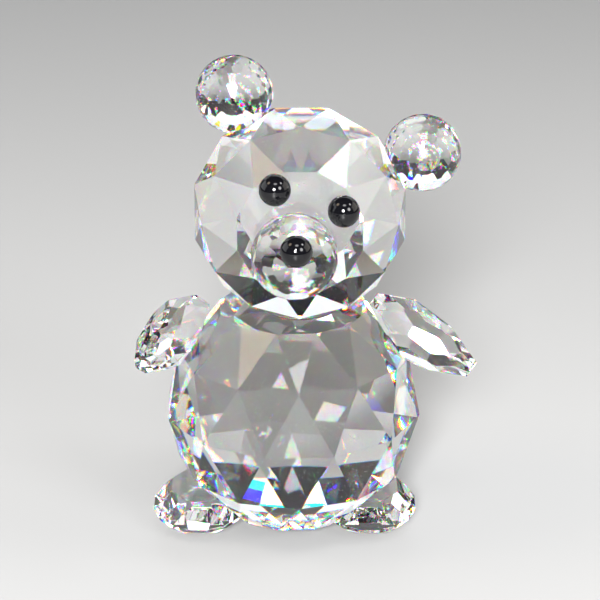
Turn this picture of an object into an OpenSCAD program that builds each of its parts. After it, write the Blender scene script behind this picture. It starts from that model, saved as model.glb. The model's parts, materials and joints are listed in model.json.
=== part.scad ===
// Crystal teddy bear: cut stones glued together on matched ground flats.
// It stands on Z = 0 and looks along -Y. "Left" and "right" are the viewer's.

/* [Body and head] */
// Diameter of the body ball
body_d = 50; // [40:1:60]
// Diameter of the head ball
head_d = 41; // [34:1:45]
// Gap between the ground and the flat under the body
body_clearance = 3.1; // [1.5:0.1:6]
// Sides of the star cut on both big balls
star_sides = 12; // [10:1:14]
// Depth ground off the head where it sits on the body
neck_grind = 1.6; // [1.3:0.1:3]
// Angle by which the face looks up
head_pitch = 6; // [0:1:9]
// Angle by which the head tips over to its side
head_tip = 17.5; // [0:0.5:24]

/* [Ears] */
// Diameter of an ear ball
ear_d = 14.4; // [10:0.2:17]
// Angle from the top of the head to each ear
ear_angle = 46; // [38:1:56]
// Depth ground off the head under each ear
ear_seat = 0.9; // [0.6:0.1:1.6]
// Depth ground off each ear
ear_grind = 1.4; // [0.8:0.1:2.4]

/* [Face] */
// Diameter of the muzzle stone
muzzle_d = 15.6; // [13:0.2:17]
// Distance from the middle of the muzzle stone to its flat back
muzzle_back = 3.6; // [2:0.1:5]
// Distance of the muzzle below the middle of the face
muzzle_drop = 3.4; // [3:0.1:4]
// Diameter of the black beads
bead_d = 5.8; // [4.5:0.1:6.4]
// Distance between the eyes
eye_spacing = 12.9; // [12:0.1:14]
// Height of the eyes above the middle of the face
eye_rise = 6.8; // [6:0.1:6.9]
// Angle of the nose above the tip of the muzzle
nose_angle = 20; // [0:1:28]
// Angle by which the nose swings back upright around the muzzle, against the head's tip
nose_swing = 11; // [0:1:24]

/* [Arms] */
// Length of an arm stone
arm_len = 23; // [20:0.5:28]
// Width of an arm stone
arm_w = 11; // [10:0.2:13]
// Height angle of the shoulders on the body ball
shoulder_angle = 36; // [32:1:42]

/* [Feet] */
// Diameter of a foot stone
foot_d = 18; // [14:0.5:20]
// Height of a foot stone
foot_h = 9; // [7:0.5:11]
// Distance between the middles of the feet
foot_spacing = 33; // [30:0.5:38]
// Distance of the feet in front of the body's axis
foot_y = 5.5; // [2:0.5:8]
// Angle by which the flat tops of the feet lean forwards
foot_lean = 10; // [0:1:14]

/* [Adhesive] */
// Thickness of each layer of clear adhesive
bond_t = 0.12; // [0.08:0.01:0.2]

/* [Hidden] */
$fn = 64;

left = -1;
right = 1;
crystal = [0.86, 0.9, 0.92];
jet = [0.04, 0.04, 0.05];
adhesive = [0.93, 0.93, 0.86];

// Room for the cutting blocks, and the share of a ground flat that its adhesive covers
reach = 60;
bond_share = 0.88;

// Star cut: angles of its rings of corners, measured from the pole
flat_ring = 35;
star_ring = 62;
belt_ring = 90;
pole_flat = cos(flat_ring);

// Body ball, off the middle so that the box around the figurine is centred on the origin
body_r = body_d / 2;
body_turn = 3;
body_c = [-2.9, 3.82, body_clearance + pole_flat * body_r];
body_top = body_c.z + pole_flat * body_r;

// Head ball: the middle sits a little to the right of the body's
head_r = head_d / 2;
head_shift = 1.4;
head_neck = head_r - neck_grind;
head_c = [body_c.x + head_shift, body_c.y, body_top + bond_t + head_neck];
face_depth = pole_flat * head_r;
neck_bond_r = bond_share * chord(head_r, head_neck);

// Ears
ear_seat_depth = head_r - ear_seat;
ear_flat = ear_d / 2 - ear_grind;
ear_bond_r = bond_share * chord(ear_d / 2, ear_flat);
ear_sides = 18;
ear_rows = [14, 32, 50, 68, 86, 104, 122, 140, 158];

// Muzzle, eyes and nose
muzzle_r = muzzle_d / 2;
muzzle_sides = 18;
muzzle_rows = [20, 38, 55, 72, 90, 106];
muzzle_y = face_depth + bond_t + muzzle_back;
nose_grind = 0.55;
nose_seat = muzzle_r - nose_grind;
nose_v = [
    -sin(nose_angle) * sin(nose_swing),
    -cos(nose_angle),
    sin(nose_angle) * cos(nose_swing)
];
bead_flat = 0.35 * bead_d;
eye_shift = -0.4;
bead_bond_r = bond_share * chord(bead_d / 2, bead_flat);

// Arms: each has its widest part off a shoulder, and points its tip along its own direction
shoulder_grind = 1.2;
shoulder_depth = body_r - shoulder_grind;
arm_r = arm_w / 2;
arm_offset = 0.55 * arm_r;
arm_tip = 0.65 * arm_len;
arm_tail = 0.35 * arm_len;
arm_bond_r = 3.6;
arm_left_v = [-9, -20, -2.5];
arm_right_v = [20, -9, -10];

// Feet: they stand a little to the left of the body, each ground flat underneath
foot_shift = -1.6;
foot_r = foot_d / 2;
foot_mid = foot_h / 2 * cos(foot_lean) + 0.1 * foot_r * sin(foot_lean);
foot_grind = 2.3;
foot_seat_depth = body_r - foot_grind;
foot_bond_r = 3;

// Radius of the flat on a ball whose flat lies at a depth from the middle
function chord(r, depth) = sqrt(r * r - depth * depth);

// Directions from the middle of the body to a shoulder and to a foot
function shoulder_v(side) = [side * cos(shoulder_angle), 0, sin(shoulder_angle)];
function foot_c(side) = [body_c.x + foot_shift + side * foot_spacing / 2, body_c.y - foot_y, foot_mid];
function foot_v(side) = foot_c(side) - body_c;

// Turns +Z to face along a direction
module aim(v) {
    rotate([0, acos(v.z / norm(v)), atan2(v.y, v.x)])
        children();
}

// A ring of n plane cuts around Z. Each plane faces the angle tilt from +Z, at a depth from the
// middle, and the first one faces the angle turn.
module tier(n, turn, tilt, depth) {
    function corner_r(z) = (depth - z * cos(tilt)) / sin(tilt) / cos(180 / n);
    steep = abs(cos(tilt)) < 0.001;
    tip = steep ? reach : (depth - 0.02 * sin(tilt)) / cos(tilt);
    z0 = tip < 0 ? max(tip, -reach) : -reach;
    z1 = tip > 0 ? min(tip, reach) : reach;
    corners = [for (i = [0:n - 1]) turn + (i + 0.5) * 360 / n];
    bottom = [for (a = corners) [corner_r(z0) * cos(a), corner_r(z0) * sin(a), z0]];
    top = [for (a = corners) [corner_r(z1) * cos(a), corner_r(z1) * sin(a), z1]];
    sides = [for (i = [0:n - 1]) [i, i + n, (i + 1) % n + n, (i + 1) % n]];
    caps = [[for (i = [0:n - 1]) i], [for (i = [n - 1:-1:0]) n + i]];
    polyhedron(points = concat(bottom, top), faces = concat(caps, sides));
}

// A stone bounded by rings of n cuts and by flats at the heights low and high. A ring is given
// as [turn, upper point, lower point], with both points as [radius, height] of its profile.
module cut_stone(n, rings, low, high) {
    intersection() {
        translate([0, 0, low])
            cylinder(r = reach, h = high - low);
        intersection_for (ring = rings) {
            upper = ring[1];
            lower = ring[2];
            tilt = atan2(upper[1] - lower[1], lower[0] - upper[0]);
            tier(n, ring[0], tilt, upper[0] * sin(tilt) + upper[1] * cos(tilt));
        }
    }
}

// A large ball with flat poles and four rings of triangles on each half
module star_ball(r) {
    half = 180 / star_sides;
    function at(angle, inset) = [r * sin(angle) * inset, r * cos(angle)];
    function flip(p) = [p[0], -p[1]];
    upper_rings = [
        [0, at(flat_ring, cos(half)), at(star_ring, 1)],
        [half, at(flat_ring, 1), at(star_ring, cos(half))],
        [half, at(star_ring, cos(half)), at(belt_ring, 1)],
        [0, at(star_ring, 1), at(belt_ring, cos(half))]
    ];
    lower_rings = [for (ring = upper_rings) [ring[0], flip(ring[2]), flip(ring[1])]];
    cut_stone(star_sides, concat(upper_rings, lower_rings), -r * pole_flat, r * pole_flat);
}

// A small ball with a flat tip and many rows of small cuts, each row turned by half a cut
module fine_ball(r, n, rows, low) {
    intersection() {
        translate([0, 0, low])
            cylinder(r = reach, h = r * 0.995 - low);
        intersection_for (i = [0:len(rows) - 1])
            tier(n, (i % 2) * 180 / n, rows[i], r * 0.985);
    }
}

// Grinds a stone flat at a depth from its middle, along a direction
module ground(v, depth) {
    difference() {
        children();
        aim(v)
            translate([0, 0, depth])
                cylinder(r = reach, h = reach);
    }
}

// A disc of adhesive that starts at a depth along a direction
module bond(v, depth, r) {
    color(adhesive)
        aim(v)
            translate([0, 0, depth])
                cylinder(r = r, h = bond_t);
}

// The head's own frame: origin in the middle of the ball, face along -Y, crown along +Z
module in_head() {
    translate(head_c)
        rotate([-head_pitch, 0, 0])
            rotate([0, head_tip, 0])
                children();
}

function ear_v(side) = [side * sin(ear_angle), 0, cos(ear_angle)];

module body_ball() {
    color(crystal)
        translate(body_c)
            ground(shoulder_v(left), shoulder_depth)
                ground(shoulder_v(right), shoulder_depth)
                    ground(foot_v(left), foot_seat_depth)
                        ground(foot_v(right), foot_seat_depth)
                            rotate([0, 0, body_turn])
                                star_ball(body_r);
}

module head_ball() {
    color(crystal)
        translate(head_c)
            ground([0, 0, -1], head_neck)
                translate(-head_c)
                    in_head()
                        ground(ear_v(left), ear_seat_depth)
                            ground(ear_v(right), ear_seat_depth)
                                rotate([0, -head_tip, 0])
                                    rotate([90, 0, 0])
                                        star_ball(head_r);
}

module ear(side) {
    color(crystal)
        in_head()
            translate(ear_v(side) * (ear_seat_depth + bond_t + ear_flat))
                ground(-ear_v(side), ear_flat)
                    rotate([90, 0, 0])
                        fine_ball(ear_d / 2, ear_sides, ear_rows, -ear_d / 2);
}

module muzzle() {
    color(crystal)
        in_head()
            translate([0, -muzzle_y, -muzzle_drop])
                ground(nose_v, nose_seat)
                    rotate([90, 0, 0])
                        fine_ball(muzzle_r, muzzle_sides, muzzle_rows, -muzzle_back);
}

// A black bead with its flat towards -Z
module bead() {
    color(jet)
        translate([0, 0, bead_flat])
            ground([0, 0, -1], bead_flat)
                sphere(d = bead_d);
}

module eye(side) {
    in_head()
        translate([eye_shift + side * eye_spacing / 2, -face_depth - bond_t, eye_rise])
            aim([0, -1, 0])
                bead();
}

module nose() {
    in_head()
        translate([0, -muzzle_y, -muzzle_drop] + nose_v * (nose_seat + bond_t))
            aim(nose_v)
                bead();
}

// A pear-shaped stone along +Z, with its origin where it is widest. Its profile is given in
// shares of its width and of its length on each side of the origin. Its tip is ground off askew.
module pear() {
    n = 6;
    half = 180 / n;
    rings = [
        [half, [0.3 * arm_r, arm_tip], [0.86 * arm_r, 0.5 * arm_tip]],
        [0, [0.78 * arm_r, 0.62 * arm_tip], [arm_r, 0.12 * arm_tip]],
        [half, [0.9 * arm_r, 0.4 * arm_tip], [arm_r, -0.1 * arm_tail]],
        [0, [arm_r, 0.12 * arm_tip], [0.8 * arm_r, -0.6 * arm_tail]],
        [half, [0.94 * arm_r, -0.3 * arm_tail], [0.5 * arm_r, -arm_tail]]
    ];
    tip_slant = [0.35, 0.1, 1];
    ground(tip_slant, 0.95 * arm_tip)
        cut_stone(n, rings, -arm_tail, arm_tip);
}

module arm(side, v) {
    color(crystal)
        translate(body_c)
            ground(-shoulder_v(side), -shoulder_depth - bond_t)
                translate(shoulder_v(side) * (shoulder_depth + bond_t + arm_offset))
                    aim(v)
                        pear();
}

// A brilliant-like stone with a flat top and a small flat underneath. Its profile is given in
// shares of its radius and height.
module foot(side) {
    n = 8;
    half = 180 / n;
    table_r = 0.6 * foot_r;
    base_r = 0.45 * foot_r;
    girdle = [0.46 * foot_h, 0.54 * foot_h];
    rings = [
        [0, [table_r, foot_h], [foot_r, girdle[1]]],
        [half, [0.86 * foot_r, 0.76 * foot_h], [foot_r, girdle[1]]],
        [half, [foot_r, girdle[1]], [foot_r, girdle[0]]],
        [0, [foot_r, girdle[1]], [foot_r, girdle[0]]],
        [0, [foot_r, girdle[0]], [base_r, 0]],
        [half, [foot_r, girdle[0]], [0.8 * foot_r, 0.2 * foot_h]]
    ];
    color(crystal)
        ground([0, 0, -1], 0)
            translate(body_c)
                ground(-foot_v(side), -foot_seat_depth - bond_t)
                    translate(foot_v(side))
                        rotate([foot_lean, 0, 0])
                            translate([0, 0, -foot_h / 2])
                                cut_stone(n, rings, 0, foot_h);
}

module bond_neck() {
    translate([head_c.x, head_c.y, body_top])
        bond([0, 0, 1], 0, neck_bond_r);
}

module bond_ear(side) {
    in_head()
        bond(ear_v(side), ear_seat_depth, ear_bond_r);
}

module bond_muzzle() {
    in_head()
        translate([0, 0, -muzzle_drop])
            bond([0, -1, 0], face_depth, bond_share * chord(muzzle_r, muzzle_back));
}

module bond_eye(side) {
    in_head()
        translate([eye_shift + side * eye_spacing / 2, 0, eye_rise])
            bond([0, -1, 0], face_depth, bead_bond_r);
}

module bond_nose() {
    in_head()
        translate([0, -muzzle_y, -muzzle_drop])
            bond(nose_v, nose_seat, bead_bond_r);
}

module bond_arm(side) {
    translate(body_c)
        bond(shoulder_v(side), shoulder_depth, arm_bond_r);
}

module bond_foot(side) {
    translate(body_c)
        bond(foot_v(side), foot_seat_depth, foot_bond_r);
}

body_ball();
head_ball();
ear(left);  // ear_left
ear(right);  // ear_right
muzzle();
eye(left);  // eye_left
eye(right);  // eye_right
nose();
arm(left, arm_left_v);  // arm_left
arm(right, arm_right_v);  // arm_right
foot(left);  // foot_left
foot(right);  // foot_right
bond_neck();
bond_ear(left);  // bond_ear_left
bond_ear(right);  // bond_ear_right
bond_muzzle();
bond_eye(left);  // bond_eye_left
bond_eye(right);  // bond_eye_right
bond_nose();
bond_arm(left);  // bond_arm_left
bond_arm(right);  // bond_arm_right
bond_foot(left);  // bond_foot_left
bond_foot(right);  // bond_foot_right
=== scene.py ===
import json
import math

import bpy
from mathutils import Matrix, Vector

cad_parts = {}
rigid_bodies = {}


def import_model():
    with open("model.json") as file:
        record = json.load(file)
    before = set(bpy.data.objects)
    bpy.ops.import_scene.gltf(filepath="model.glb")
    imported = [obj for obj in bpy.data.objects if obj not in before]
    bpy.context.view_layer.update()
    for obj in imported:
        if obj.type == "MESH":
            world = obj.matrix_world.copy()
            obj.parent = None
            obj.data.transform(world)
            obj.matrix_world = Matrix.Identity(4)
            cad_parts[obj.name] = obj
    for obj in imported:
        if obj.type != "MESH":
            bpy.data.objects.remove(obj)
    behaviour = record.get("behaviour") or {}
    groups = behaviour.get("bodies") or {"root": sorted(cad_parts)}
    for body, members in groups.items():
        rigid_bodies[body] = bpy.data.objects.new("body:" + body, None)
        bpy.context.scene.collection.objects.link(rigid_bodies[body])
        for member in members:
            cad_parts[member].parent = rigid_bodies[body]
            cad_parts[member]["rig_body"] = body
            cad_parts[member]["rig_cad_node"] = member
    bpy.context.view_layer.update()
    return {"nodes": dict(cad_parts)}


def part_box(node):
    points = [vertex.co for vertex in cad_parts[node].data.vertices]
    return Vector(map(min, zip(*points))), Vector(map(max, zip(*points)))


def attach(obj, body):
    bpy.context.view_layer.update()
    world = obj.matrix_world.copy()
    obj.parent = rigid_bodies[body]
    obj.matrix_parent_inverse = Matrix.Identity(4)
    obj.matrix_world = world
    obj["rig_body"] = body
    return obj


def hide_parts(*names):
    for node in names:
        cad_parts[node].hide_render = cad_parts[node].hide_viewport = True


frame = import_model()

scene = bpy.context.scene
MM = 0.001

# ---------------------------------------------------------------------------
# Camera and studio. The bear stands on a pale, faintly glossy table. A soft key
# lamp stands beside the camera, with large dim panels to the sides and behind
# for the rims of the stones, and dark surroundings for the facets to pick up.
# ---------------------------------------------------------------------------
body_low, body_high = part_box("body_ball")
body_middle = (Vector(body_low) + Vector(body_high)) / 2

VIEW_ELEVATION = math.radians(22)
VIEW_DISTANCE = 398.7 * MM
look = Vector((0, math.cos(VIEW_ELEVATION), -math.sin(VIEW_ELEVATION)))
picture_up = Vector((0, math.sin(VIEW_ELEVATION), math.cos(VIEW_ELEVATION)))
aim_point = body_middle + Vector((1.4 * MM, 0, 0)) + picture_up * 20.1 * MM

camera_data = bpy.data.cameras.new("camera")
camera_data.lens = 122.6
camera_data.sensor_width = 36
camera_data.clip_start = 0.01
camera_data.clip_end = 20
camera = bpy.data.objects.new("camera", camera_data)
camera.location = aim_point - look * VIEW_DISTANCE
camera.rotation_mode = "QUATERNION"
camera.rotation_quaternion = look.to_track_quat("-Z", "Y")
scene.collection.objects.link(camera)
scene.camera = camera

scene.view_settings.view_transform = "Standard"
scene.cycles.max_bounces = 28
scene.cycles.transmission_bounces = 28
scene.cycles.glossy_bounces = 12
scene.cycles.transparent_max_bounces = 24
scene.cycles.caustics_refractive = False
scene.cycles.caustics_reflective = False
scene.cycles.sample_clamp_indirect = 12


def soft_lamp(name, shape, place, size, glow, tint=(1, 1, 1)):
    """A flat lamp that faces the bear. Glow is the brightness of its surface."""
    lamp = bpy.data.lights.new(name, "AREA")
    lamp.shape = shape
    lamp.size, lamp.size_y = size
    area = size[0] * size[1] * (math.pi / 4 if shape == "ELLIPSE" else 1)
    lamp.energy = math.pi * area * glow
    lamp.color = tint
    holder = bpy.data.objects.new(name, lamp)
    holder.location = place
    holder.rotation_mode = "QUATERNION"
    holder.rotation_quaternion = (aim_point - Vector(place)).to_track_quat("-Z", "Y")
    scene.collection.objects.link(holder)


soft_lamp("key_lamp", "ELLIPSE", (-0.11, -1.20, 0.59), (0.36, 0.36), 165)
soft_lamp("front_lamp", "ELLIPSE", (0.40, -0.45, 0.40), (0.25, 0.25), 12)
soft_lamp("top_lamp", "ELLIPSE", (0.05, -0.35, 0.75), (0.30, 0.20), 8)
soft_lamp("right_high_lamp", "ELLIPSE", (0.37, -0.07, 0.55), (0.13, 0.13), 13)
soft_lamp("left_high_lamp", "ELLIPSE", (-0.37, -0.07, 0.55), (0.20, 0.20), 5, (1.0, 0.82, 0.60))
soft_lamp("right_panel", "RECTANGLE", (0.65, 0.12, 0.32), (0.70, 0.46), 1.5, (1.0, 0.95, 0.86))
soft_lamp("left_panel", "RECTANGLE", (-0.65, 0.12, 0.32), (0.70, 0.46), 1.5, (0.95, 0.98, 1.0))
soft_lamp("back_panel", "RECTANGLE", (0.0, 0.70, 0.46), (1.20, 0.44), 1.2, (0.95, 0.98, 1.0))

world = bpy.data.worlds.new("studio")
world.use_nodes = True
world.node_tree.nodes["Background"].inputs["Color"].default_value = (0.02, 0.02, 0.022, 1)
scene.world = world

bpy.ops.object.select_all(action="DESELECT")
bpy.ops.mesh.primitive_plane_add(size=2.0, location=(0, 0, 0))
table_top = bpy.context.object
table_top.name = "table_top"
table_finish = bpy.data.materials.new("pale_table")
table_finish.use_nodes = True
table_shader = table_finish.node_tree.nodes["Principled BSDF"]
table_shader.inputs["Base Color"].default_value = (0.40, 0.40, 0.40, 1)
table_shader.inputs["Roughness"].default_value = 0.35
table_shader.inputs["Specular IOR Level"].default_value = 0.2
table_top.data.materials.append(table_finish)


# ---------------------------------------------------------------------------
# Body ball. A solid ball of clear lead crystal in a star cut, every facet flat
# and polished, and every edge worn by a hair. The rest of the bear is glued to
# the flats ground on it.
# ---------------------------------------------------------------------------
# Handling marks on polished glass: specks of dust and faint smears dull it
marks = bpy.data.node_groups.new("handling_marks", "ShaderNodeTree")
for label, value in (("Speck Size", 1500.0), ("Speck Amount", 0.1), ("Smear", 0.02)):
    socket = marks.interface.new_socket(label, in_out="INPUT", socket_type="NodeSocketFloat")
    socket.default_value = value
marks.interface.new_socket("Roughness", in_out="OUTPUT", socket_type="NodeSocketFloat")
marks_in = marks.nodes.new("NodeGroupInput")
marks_out = marks.nodes.new("NodeGroupOutput")
place = marks.nodes.new("ShaderNodeTexCoord")
cells = marks.nodes.new("ShaderNodeTexVoronoi")
marks.links.new(place.outputs["Object"], cells.inputs["Vector"])
marks.links.new(marks_in.outputs["Speck Size"], cells.inputs["Scale"])
patches = marks.nodes.new("ShaderNodeTexNoise")
patches.inputs["Scale"].default_value = 140
patches.inputs["Detail"].default_value = 3
marks.links.new(place.outputs["Object"], patches.inputs["Vector"])
reach = marks.nodes.new("ShaderNodeMath")
reach.operation = "MULTIPLY"
marks.links.new(patches.outputs["Fac"], reach.inputs[0])
marks.links.new(marks_in.outputs["Speck Amount"], reach.inputs[1])
near = marks.nodes.new("ShaderNodeMath")
near.operation = "LESS_THAN"
marks.links.new(cells.outputs["Distance"], near.inputs[0])
marks.links.new(reach.outputs[0], near.inputs[1])
smears = marks.nodes.new("ShaderNodeTexNoise")
smears.inputs["Scale"].default_value = 55
smears.inputs["Detail"].default_value = 4
smears.inputs["Distortion"].default_value = 1.2
marks.links.new(place.outputs["Object"], smears.inputs["Vector"])
haze = marks.nodes.new("ShaderNodeMapRange")
haze.inputs["From Min"].default_value = 0.5
haze.inputs["From Max"].default_value = 0.75
marks.links.new(smears.outputs["Fac"], haze.inputs["Value"])
marks.links.new(marks_in.outputs["Smear"], haze.inputs["To Max"])
rough = marks.nodes.new("ShaderNodeMath")
rough.operation = "MULTIPLY_ADD"
rough.inputs[1].default_value = 0.35
marks.links.new(near.outputs[0], rough.inputs[0])
marks.links.new(haze.outputs["Result"], rough.inputs[2])
marks.links.new(rough.outputs[0], marks_out.inputs["Roughness"])


def add_marks(tree, speck_size, speck_amount, smear):
    """The handling marks in a material. Returns the roughness that they give."""
    handled = tree.nodes.new("ShaderNodeGroup")
    handled.node_tree = marks
    handled.inputs["Speck Size"].default_value = speck_size
    handled.inputs["Speck Amount"].default_value = speck_amount
    handled.inputs["Smear"].default_value = smear
    return handled.outputs["Roughness"]


def clear_glass(name, tint, bend, fire, shadow):
    """Clear glass that bends blue a little more than red. Shadow is the light that it lets pass."""
    glass = bpy.data.materials.new(name)
    glass.use_nodes = True
    tree = glass.node_tree
    clear = tree.nodes["Principled BSDF"]
    clear.inputs["Base Color"].default_value = tint
    clear.inputs["Transmission Weight"].default_value = 1
    clear.inputs["IOR"].default_value = bend
    dull = add_marks(tree, 1400, 0.16, 0.004)
    tree.links.new(dull, clear.inputs["Roughness"])

    lobes = []
    for colour, more in (((3, 0, 0, 1), -0.010), ((0, 3, 0, 1), 0), ((0, 0, 3, 1), 0.013)):
        lobe = tree.nodes.new("ShaderNodeBsdfGlass")
        lobe.inputs["Color"].default_value = colour
        lobe.inputs["IOR"].default_value = bend + fire * more
        tree.links.new(dull, lobe.inputs["Roughness"])
        lobes.append(lobe)
    red_green = tree.nodes.new("ShaderNodeMixShader")
    red_green.inputs["Fac"].default_value = 1 / 2
    tree.links.new(lobes[0].outputs[0], red_green.inputs[1])
    tree.links.new(lobes[1].outputs[0], red_green.inputs[2])
    spectrum = tree.nodes.new("ShaderNodeMixShader")
    spectrum.inputs["Fac"].default_value = 1 / 3
    tree.links.new(red_green.outputs[0], spectrum.inputs[1])
    tree.links.new(lobes[2].outputs[0], spectrum.inputs[2])

    # Colours split only where the camera first meets the glass. Every other ray meets
    # the plain glass, which bends all colours alike.
    ray = tree.nodes.new("ShaderNodeLightPath")
    split = tree.nodes.new("ShaderNodeMixShader")
    tree.links.new(ray.outputs["Is Camera Ray"], split.inputs[0])
    tree.links.new(clear.outputs[0], split.inputs[1])
    tree.links.new(spectrum.outputs[0], split.inputs[2])

    through = tree.nodes.new("ShaderNodeBsdfTransparent")
    through.inputs["Color"].default_value = (shadow, shadow, shadow, 1)
    shade = tree.nodes.new("ShaderNodeMixShader")
    tree.links.new(ray.outputs["Is Shadow Ray"], shade.inputs[0])
    tree.links.new(split.outputs[0], shade.inputs[1])
    tree.links.new(through.outputs[0], shade.inputs[2])
    tree.links.new(shade.outputs[0], tree.nodes["Material Output"].inputs["Surface"])
    return glass


def finished_copy(node_name, edge_width, edge_steps, edge_angle, finish):
    """A copy of a CAD node with its faces made whole, its edges broken, and its own finish."""
    bpy.ops.object.select_all(action="DESELECT")
    piece = frame["nodes"][node_name].copy()
    piece.data = piece.data.copy()
    piece.name = node_name + "_finished"
    piece.data.name = piece.name
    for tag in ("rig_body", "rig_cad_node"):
        if tag in piece:
            del piece[tag]
    piece.parent = None
    scene.collection.objects.link(piece)
    piece.select_set(True)
    bpy.context.view_layer.objects.active = piece
    bpy.ops.object.mode_set(mode="EDIT")
    bpy.ops.mesh.select_all(action="SELECT")
    bpy.ops.mesh.remove_doubles(threshold=0.004 * MM)
    bpy.ops.mesh.dissolve_limited(angle_limit=math.radians(0.8))
    bpy.ops.mesh.normals_make_consistent(inside=False)
    bpy.ops.object.mode_set(mode="OBJECT")
    bevel = piece.modifiers.new("worn_edges", "BEVEL")
    bevel.width = edge_width * MM
    bevel.segments = edge_steps
    bevel.limit_method = "ANGLE"
    bevel.angle_limit = math.radians(edge_angle)
    bpy.ops.object.modifier_apply(modifier=bevel.name)
    piece.data.materials.clear()
    piece.data.materials.append(finish)
    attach(piece, "root")
    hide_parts(node_name)


def cut_stone(node_name, edge_width, finish):
    """A stone with flat facets and a hair-fine worn strip along every edge."""
    finished_copy(node_name, edge_width, 1, 3, finish)
    bpy.ops.object.shade_flat()


CRYSTAL_TINT = (0.985, 0.99, 0.985, 1)
CRYSTAL_BEND = 1.57
ball_crystal = clear_glass("lead_crystal_ball", CRYSTAL_TINT, CRYSTAL_BEND, 0.8, 0.12)
cut_stone("body_ball", 0.15, ball_crystal)


# ---------------------------------------------------------------------------
# Head ball. The same star cut in a smaller ball, with one pole as the flat face.
# It is ground flat below and glued on the body's top flat.
# ---------------------------------------------------------------------------
cut_stone("head_ball", 0.13, ball_crystal)


# ---------------------------------------------------------------------------
# Ears. Two small crystal balls with many rows of fine cuts. Each is ground flat
# and glued on a flat of the head. Stones this small show less colour.
# ---------------------------------------------------------------------------
small_crystal = clear_glass("lead_crystal_small", CRYSTAL_TINT, CRYSTAL_BEND, 0.35, 0.55)
cut_stone("ear_left", 0.045, small_crystal)
cut_stone("ear_right", 0.045, small_crystal)


# ---------------------------------------------------------------------------
# Muzzle. A finely cut crystal dome with a flat back, glued on the face flat.
# ---------------------------------------------------------------------------
cut_stone("muzzle", 0.045, small_crystal)


# ---------------------------------------------------------------------------
# Eyes and nose. Domed beads of jet-black glass, ground flat at the back and
# glued down. They are polished all over, with a softened rim round the flat.
# ---------------------------------------------------------------------------
jet = bpy.data.materials.new("jet_glass")
jet.use_nodes = True
jet_shader = jet.node_tree.nodes["Principled BSDF"]
jet_shader.inputs["Base Color"].default_value = (0.003, 0.003, 0.004, 1)
jet_shader.inputs["IOR"].default_value = 1.46
jet.node_tree.links.new(add_marks(jet.node_tree, 2200, 0.12, 0.05), jet_shader.inputs["Roughness"])

for bead_name in ("eye_left", "eye_right", "nose"):
    finished_copy(bead_name, 0.12, 3, 40, jet)
    bpy.ops.object.shade_smooth_by_angle(angle=math.radians(35))


# ---------------------------------------------------------------------------
# Arms. Two pear-shaped crystal stones with long facets. A flat ground on the
# back of each is glued on a shoulder flat of the body.
# ---------------------------------------------------------------------------
cut_stone("arm_left", 0.08, small_crystal)
cut_stone("arm_right", 0.08, small_crystal)


# ---------------------------------------------------------------------------
# Feet. Two low brilliant-cut crystal stones, ground flat underneath to stand
# and ground at the back to meet a flat under the body, where they are glued.
# ---------------------------------------------------------------------------
cut_stone("foot_left", 0.08, small_crystal)
cut_stone("foot_right", 0.08, small_crystal)


# ---------------------------------------------------------------------------
# Adhesive. A thin film of clear cured adhesive joins each pair of ground flats.
# It wets both stones, so each film reaches a little into them, and its rim is
# round where the adhesive was squeezed out.
# ---------------------------------------------------------------------------
WETTING = 0.02 * MM
adhesive = clear_glass("clear_adhesive", (0.985, 0.98, 0.955, 1), 1.56, 0.0, 0.9)

for node_name in frame["nodes"]:
    if node_name.startswith("bond_"):
        finished_copy(node_name, 0.045, 3, 40, adhesive)
        bpy.ops.object.mode_set(mode="EDIT")
        bpy.ops.mesh.select_all(action="SELECT")
        bpy.ops.transform.shrink_fatten(value=WETTING, use_even_offset=True)
        bpy.ops.object.mode_set(mode="OBJECT")
        bpy.ops.object.shade_smooth_by_angle(angle=math.radians(35))
